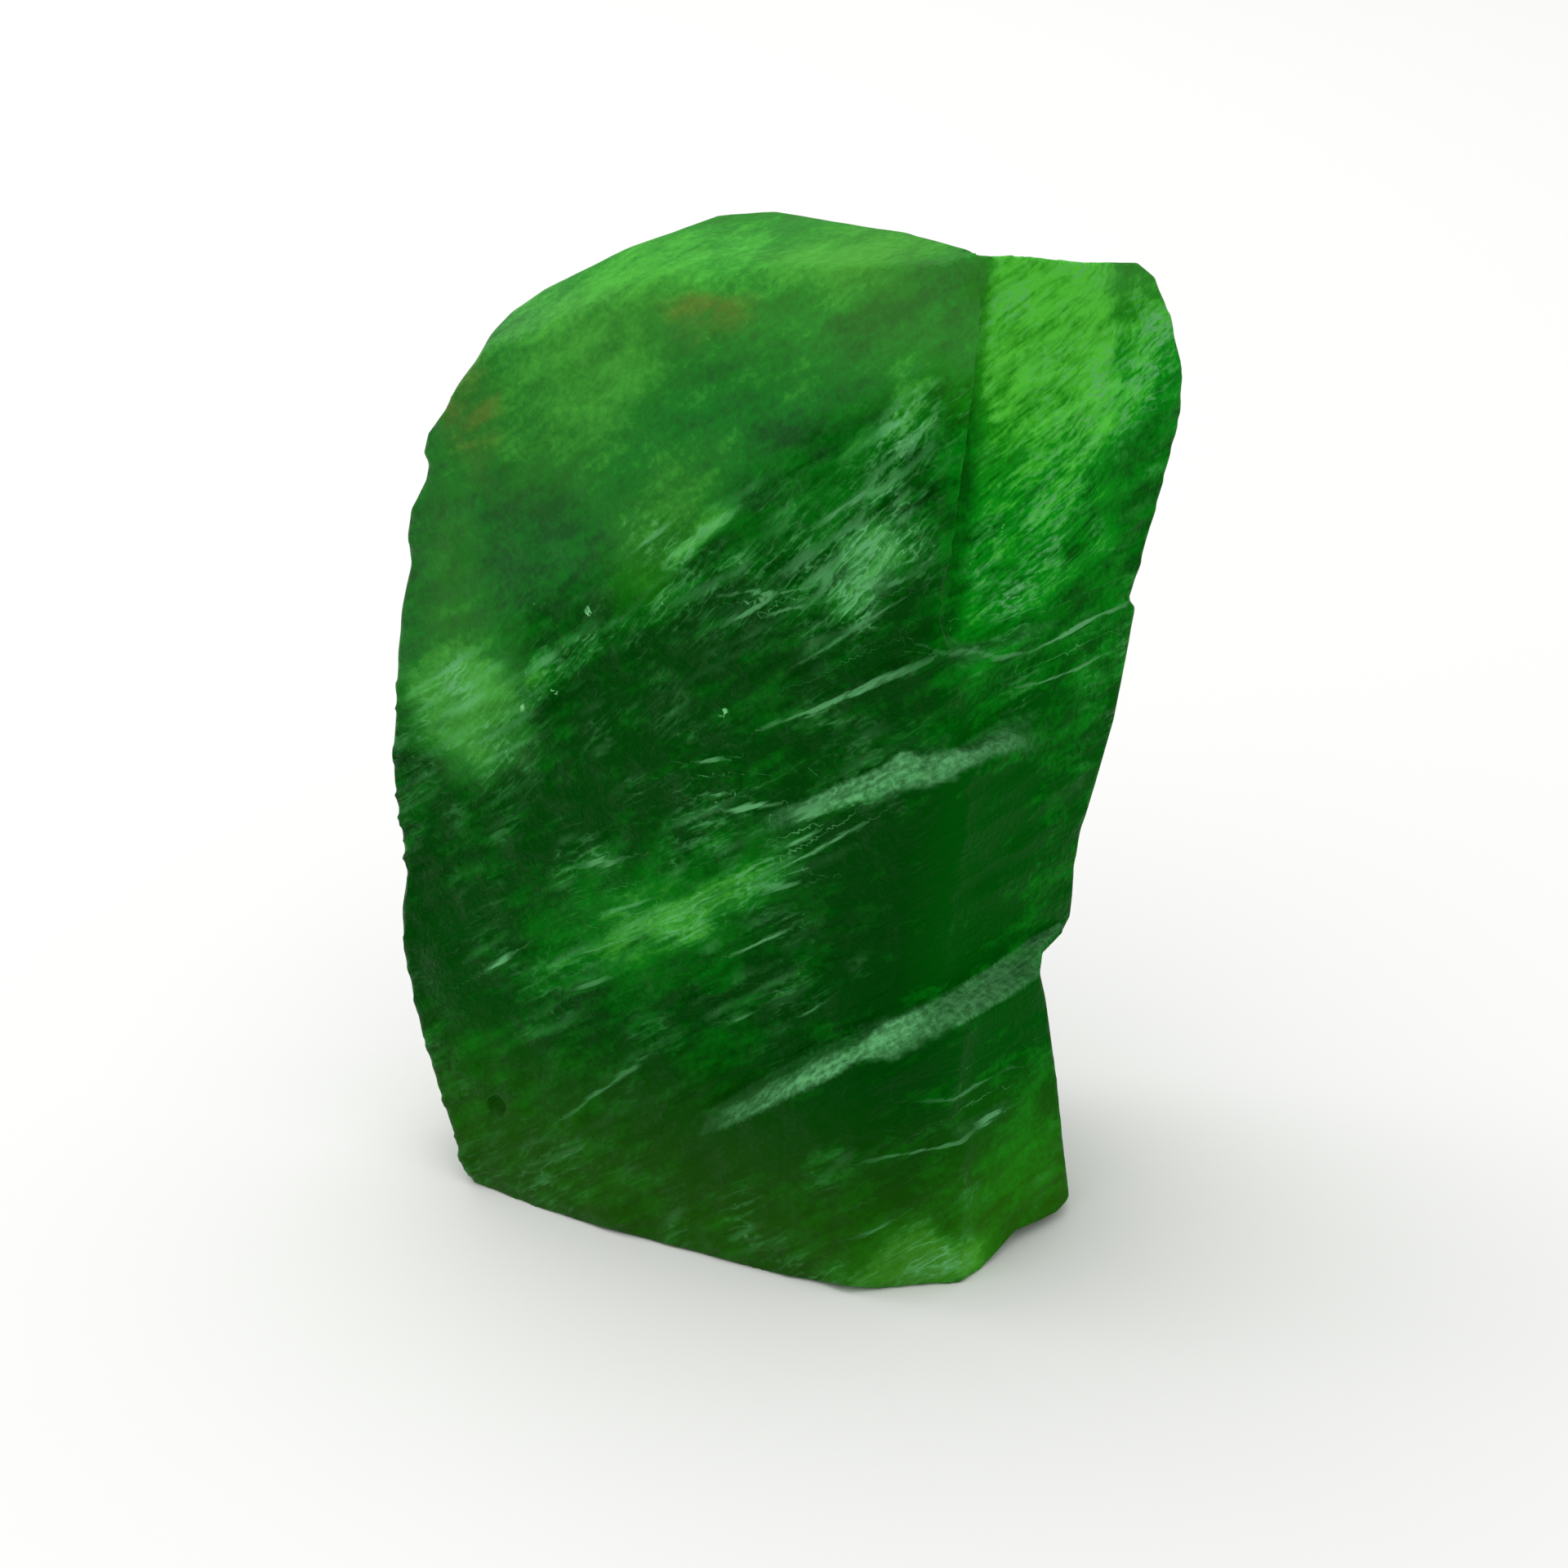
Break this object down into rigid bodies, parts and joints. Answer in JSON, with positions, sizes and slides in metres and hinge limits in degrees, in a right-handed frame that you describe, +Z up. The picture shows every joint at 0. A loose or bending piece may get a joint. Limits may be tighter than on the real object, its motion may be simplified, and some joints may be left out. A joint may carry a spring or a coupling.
{
  "type": "rough fluorite",
  "caption": "Broken unpolished chunk of deep green fluorite with stepped cleavage faces, a recessed side panel and a flat foot it stands on.",
  "frame": {"origin": "middle of the stone's bounding box, at the level of the flat foot it stands on", "axes": "+Z up along the stone's height; the broad stepped face and the recessed panel look towards -Y; +X to the right of someone facing them"},
  "size_m": [0.0372, 0.025, 0.0488],
  "materials": {
    "fluorite": "deep green translucent fluorite, frosted broken faces with silky cleavage steps and a few glossy flats"
  },
  "bodies": {
    "root": {"fluorite": "fluorite"}
  },
  "joints": []
}
